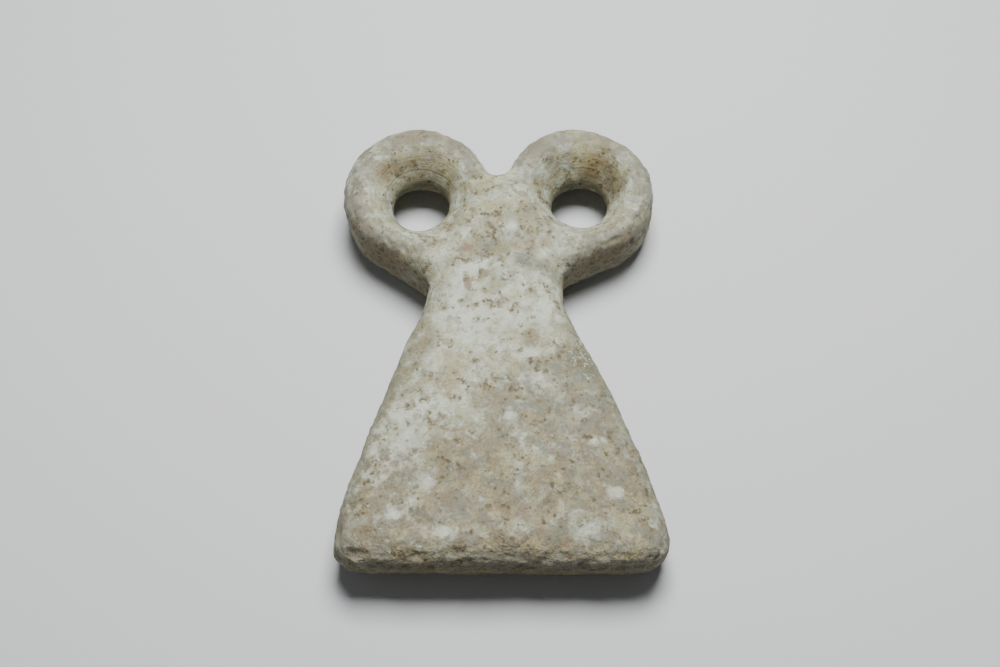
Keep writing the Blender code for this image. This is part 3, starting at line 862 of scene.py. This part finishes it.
def makeStone(patch, specks, drill, scratch):
    material = bpy.data.materials.new("wornPaleStone")
    material.use_nodes = True
    tree = material.node_tree
    shader = tree.nodes["Principled BSDF"]
    given = addNode(tree, "TexCoord").outputs["Object"]
    spot = scaleVector(tree, given, 1 / mm)
    kind = stoneFinish["ragged"]
    ragged = noiseValue(tree, spot, kind["across"], kind["detail"], kind["roughness"])
    ragged = times(tree, minus(tree, ragged, 0.5), kind["strength"])

    # The stone itself: cream with broad clouds
    along = addNode(tree, "SeparateXYZ", {0: spot}).outputs["Y"]
    upward = between(tree, along, *stoneFinish["upperPart"])
    colour = addLayers(tree, spot, stoneColours["cream"], stoneClouds, upward, 0)

    # Stains, bleached places, and where it is speckled or scraped
    colour, shares = addMarks(tree, patch, spot, ragged, colour)
    scraped = shares["scratches"]

    # Finer mottling, fainter on the clean places
    kept = minus(tree, 1.0, times(tree, shares["clean"], stoneFinish["cleanLoses"]))
    colour = addLayers(tree, spot, colour, stoneMottles, upward, len(stoneClouds), kept)

    # Soil and painted shade on the steep sides, darker as they turn away from the light; they also count
    # as soiled
    kind = stoneFinish["sideSoilAndShade"]
    sides = readMask(tree, "sides")
    sideSoilShade = between(tree, times(tree, sides, plus(tree, ragged, kind["offset"])), *kind["levels"])
    colour = layOver(tree, colour, "brown", times(tree, sideSoilShade, kind["strength"]))
    soiled = larger(tree, shares["soiled"], times(tree, sides, kind["soiled"]))

    # Brown specks in their stains, and finer dots, both thicker where the stone is soiled
    speckled = larger(tree, shares["specks"], times(tree, soiled, speckUse["onSoiled"]))
    cover = times(tree, speckled, speckUse["coverReach"])
    marks = 0.0
    for name in ("specks", "dots"):
        made = addSpecks(tree, specks, spot, name, cover)
        colour = layOver(tree, colour, "tan", times(tree, made["Stain"], speckUse["stain"]))
        colour = layOver(tree, colour, "brown", times(tree, made["Specks"], speckUse["specks"]))
        marks = larger(tree, marks, made["Specks"])

    # Dirt held in the hollows, less of it at the base end
    kind = stoneFinish["hollowDirt"]
    atEnd = readMask(tree, "roughEnd")
    held = times(tree, readMask(tree, "hollows"), plus(tree, ragged, kind["offset"]))
    held = between(tree, held, *kind["levels"])
    strength = minus(tree, kind["strength"], times(tree, atEnd, kind["lessAtEnd"]))
    colour = layOver(tree, colour, "brown", times(tree, held, strength))

    # Soil and painted shade on the raised edges, where the stone is roughest
    kind = stoneFinish["rimSoilAndShade"]
    rough = between(tree, plus(tree, ragged, readMask(tree, "ridges")), *kind["levels"])
    colour = layOver(tree, colour, "rim", times(tree, rough, kind["strength"]))

    # Drill rings inside both eyes
    kind = stoneFinish["drillShade"]
    lines = 0.0
    for axis in eyeAxes:
        made = fillGroup(tree, drill, {"Vector": spot, "Axis": tuple(axis)})
        lines = plus(tree, lines, times(tree, made["Funnel"], minus(tree, made["Lines"], 0.5)))
    darker = between(tree, lines, *kind["levels"])
    colour = layOver(tree, colour, "brown", times(tree, darker, kind["strength"]))

    # Fine white scratches and pale scuffs where the stone was scraped
    cover = minus(tree, scraped, scrapeUse["lessCover"])
    inputs = {"Vector": spot, "Turn": math.radians(scrapeUse["scratchTurn"]), "Cover": cover}
    scratches = fillGroup(tree, scratch, inputs)["Mask"]
    colour = layOver(tree, colour, "white", times(tree, scratches, scrapeUse["scratches"]))
    moved = onVectors(tree, "ADD", spot, scrapeUse["scuffShift"])
    scuffs = addSpecks(tree, specks, moved, "scuffs", times(tree, scraped, scrapeUse["scuffReach"]))
    colour = layOver(tree, colour, "white", times(tree, scuffs["Specks"], scrapeUse["scuffs"]))

    tree.links.new(colour, shader.inputs["Base Color"])
    dull = times(tree, soiled, stoneFinish["soiledRougher"])
    dull = plus(tree, dull, times(tree, marks, stoneFinish["speckRougher"]))
    tree.links.new(plus(tree, dull, stoneFinish["roughness"]), shader.inputs["Roughness"])
    shader.inputs["Specular IOR Level"].default_value = stoneFinish["specular"]
    shader.inputs["Subsurface Weight"].default_value = stoneFinish["glow"]
    shader.inputs["Subsurface Radius"].default_value = stoneFinish["glowReach"]
    shader.inputs["Subsurface Scale"].default_value = stoneFinish["glowDepth"] * mm

    # Height in mm: grain and lumps, coarser on the sides and the base end, and drill rings, with
    # pores and scratches cut in
    height = plus(tree, reliefNoise(tree, spot, "grain"), reliefNoise(tree, spot, "lumps"))
    coarse = larger(tree, atEnd, times(tree, sides, stoneRelief["coarseOnSides"]))
    height = plus(tree, height, times(tree, coarse, reliefNoise(tree, spot, "coarse")))
    height = plus(tree, height, times(tree, lines, stoneRelief["drillLines"]))
    pores = addSpecks(tree, specks, spot, "pores")["Specks"]
    height = minus(tree, height, times(tree, pores, stoneRelief["pores"]))
    height = minus(tree, height, times(tree, scratches, stoneRelief["scratches"]))
    bump = addNode(tree, "Bump", {"Height": height, "Distance": mm})
    tree.links.new(bump.outputs["Normal"], shader.inputs["Normal"])
    return material


# Floor, light and camera, in metres
studio = {
    "floorColour": (0.60, 0.61, 0.62, 1),
    "floorRoughness": 0.85,
    "floorSize": 6.0,
    "floorAt": -0.00005,  # a hair below the stone
    "sky": (0.92, 0.95, 1.0, 1),
    "skyStrength": 0.08,
    "lightsAimAt": (0, 0, 0.008),
    "keyLight": {"at": (0.03, 0.14, 0.42), "size": 0.20, "power": 3.9},
    "fillLight": {"at": (-0.35, -0.30, 0.38), "size": 0.6, "power": 0.2},
}


def makeFloor():
    reach = studio["floorSize"] / 2
    mesh = bpy.data.meshes.new("floor")
    corners = [(-reach, -reach, 0), (reach, -reach, 0), (reach, reach, 0), (-reach, reach, 0)]
    mesh.from_pydata(corners, [], [(0, 1, 2, 3)])
    floor = bpy.data.objects.new("floor", mesh)
    floor.location.z = studio["floorAt"]
    bpy.context.scene.collection.objects.link(floor)
    material = bpy.data.materials.new("paleFloor")
    material.use_nodes = True
    shader = material.node_tree.nodes["Principled BSDF"]
    shader.inputs["Base Color"].default_value = studio["floorColour"]
    shader.inputs["Roughness"].default_value = studio["floorRoughness"]
    mesh.materials.append(material)


def addLight(name):
    kind = studio[name]
    data = bpy.data.lights.new(name, "AREA")
    data.size = kind["size"]
    data.energy = kind["power"]
    light = bpy.data.objects.new(name, data)
    light.location = kind["at"]
    aim = Vector(studio["lightsAimAt"]) - Vector(kind["at"])
    light.rotation_euler = aim.to_track_quat("-Z", "Y").to_euler()
    bpy.context.scene.collection.objects.link(light)


def makeSky():
    world = bpy.data.worlds.new("softRoom")
    bpy.context.scene.world = world
    world.use_nodes = True
    background = world.node_tree.nodes["Background"]
    background.inputs["Color"].default_value = studio["sky"]
    background.inputs["Strength"].default_value = studio["skyStrength"]


view = {
    "focal": 55.08,
    "sensor": 36,
    "nearest": 0.01,
    "elevation": 62.0,
    "distance": 0.320,
    "target": (0.35 * mm, 1.9 * mm, 8 * mm),
}


def makeCamera():
    data = bpy.data.cameras.new("camera")
    data.lens = view["focal"]
    data.sensor_width = view["sensor"]
    data.clip_start = view["nearest"]
    camera = bpy.data.objects.new("camera", data)
    lift = math.radians(view["elevation"])
    back = Vector((0, -math.cos(lift), math.sin(lift)))
    camera.location = Vector(view["target"]) + back * view["distance"]
    camera.rotation_euler = (math.radians(90) - lift, 0, 0)
    bpy.context.scene.collection.objects.link(camera)
    bpy.context.scene.camera = camera


makeCamera()
makeSky()
makeFloor()
addLight("keyLight")
addLight("fillLight")
print("studio ready")

idol = buildIdol()
stone = makeStone(makePatchGroup(), makeSpeckGroup(), makeDrillGroup(), makeScratchGroup())
idol.data.materials.clear()
idol.data.materials.append(stone)
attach(idol, "root")
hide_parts("eye_idol")
print("stone finished")
